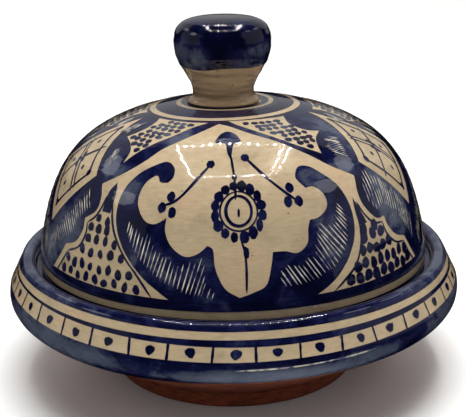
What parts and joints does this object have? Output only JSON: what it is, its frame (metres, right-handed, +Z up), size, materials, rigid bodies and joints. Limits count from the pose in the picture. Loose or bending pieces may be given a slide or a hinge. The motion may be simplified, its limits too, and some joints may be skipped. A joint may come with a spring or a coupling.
{
  "type": "tagine pot",
  "caption": "Round footed serving dish with a thick rolled rim and a lift-off dome lid with a mushroom knob.",
  "frame": {"origin": "on the table, under the centre of the dish", "axes": "+Z up along the dish's axis, -Y towards the front of the painted pattern, +X to the right"},
  "size_m": [0.2498, 0.2498, 0.196],
  "materials": {
    "cream_glaze": "glossy",
    "cobalt_glaze": "glossy",
    "terracotta": "matte"
  },
  "bodies": {
    "dish": {"dish_bowl": "cream_glaze", "foot_ring": "terracotta"},
    "lid": {"lid_dome": "cream_glaze", "lid_knob": "cobalt_glaze"}
  },
  "joints": [
    {"name": "lid_lift", "type": "slide", "parent": "dish", "child": "lid", "axis": [0, 0, 1], "range_m": [0, 0.15]}
  ]
}
